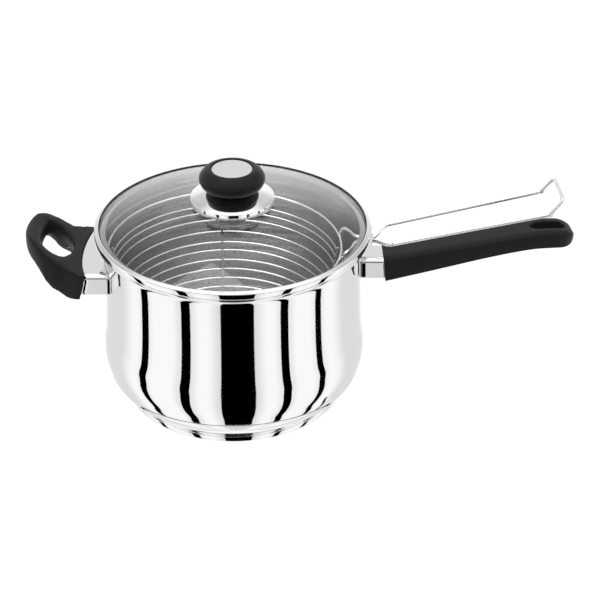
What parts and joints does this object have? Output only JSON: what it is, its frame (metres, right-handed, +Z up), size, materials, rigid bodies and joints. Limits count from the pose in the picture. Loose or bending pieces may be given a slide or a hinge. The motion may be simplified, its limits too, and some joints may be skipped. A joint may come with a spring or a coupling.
{
  "type": "saucepan with glass lid and frying basket",
  "caption": "Deep steel saucepan with a long handle, a loop helper handle, a domed glass lid with a knob, and a lift-out wire frying basket.",
  "frame": {"origin": "centre of the base's flat underside", "axes": "+Z up, +X towards the end of the long handle, -X towards the helper handle"},
  "size_m": [0.4144, 0.208, 0.1859],
  "materials": {
    "polished_steel": "mirror polished stainless steel",
    "wire_steel": "bright drawn stainless wire",
    "core_aluminium": "pressed plate",
    "black_phenolic": "moulded phenolic, satin with a fine texture",
    "silicone": "smooth silicone",
    "lid_glass": "clear tempered glass"
  },
  "bodies": {
    "pan": {"pan_body": "polished_steel", "base_cap": "polished_steel", "base_core": "core_aluminium", "long_handle_bracket": "polished_steel", "long_handle_ferrule": "polished_steel", "long_handle_grip": "black_phenolic", "long_handle_screw": "polished_steel", "helper_handle_bracket": "polished_steel", "helper_handle_ferrule": "polished_steel", "helper_handle_grip": "black_phenolic", "helper_handle_screw_left": "polished_steel", "helper_handle_screw_right": "polished_steel"},
    "basket": {"basket_rim_wire": "wire_steel", "basket_ring_01": "wire_steel", "basket_ring_02": "wire_steel", "basket_ring_03": "wire_steel", "basket_ring_04": "wire_steel", "basket_ring_05": "wire_steel", "basket_ring_06": "wire_steel", "basket_ring_07": "wire_steel", "basket_ring_08": "wire_steel", "basket_ring_09": "wire_steel", "basket_ring_10": "wire_steel", "basket_ring_11": "wire_steel", "basket_rib_cross": "wire_steel", "basket_rib_along": "wire_steel", "basket_floor_ring_1": "wire_steel", "basket_floor_ring_2": "wire_steel", "basket_floor_ring_3": "wire_steel", "basket_handle": "wire_steel"},
    "lid": {"lid_glass": "lid_glass", "lid_rim_band": "polished_steel", "knob_skirt": "polished_steel", "knob_gasket": "silicone", "knob_seal": "silicone", "knob_body": "black_phenolic", "knob_top_disc": "polished_steel", "knob_bolt": "polished_steel", "knob_washer": "polished_steel"}
  },
  "joints": [
    {"name": "basket_lift", "type": "slide", "parent": "pan", "child": "basket", "axis": [0, 0, 1], "range_m": [0, 0.13]},
    {"name": "lid_lift", "type": "slide", "parent": "basket", "child": "lid", "axis": [0, 0, 1], "range_m": [0, 0.12]}
  ]
}
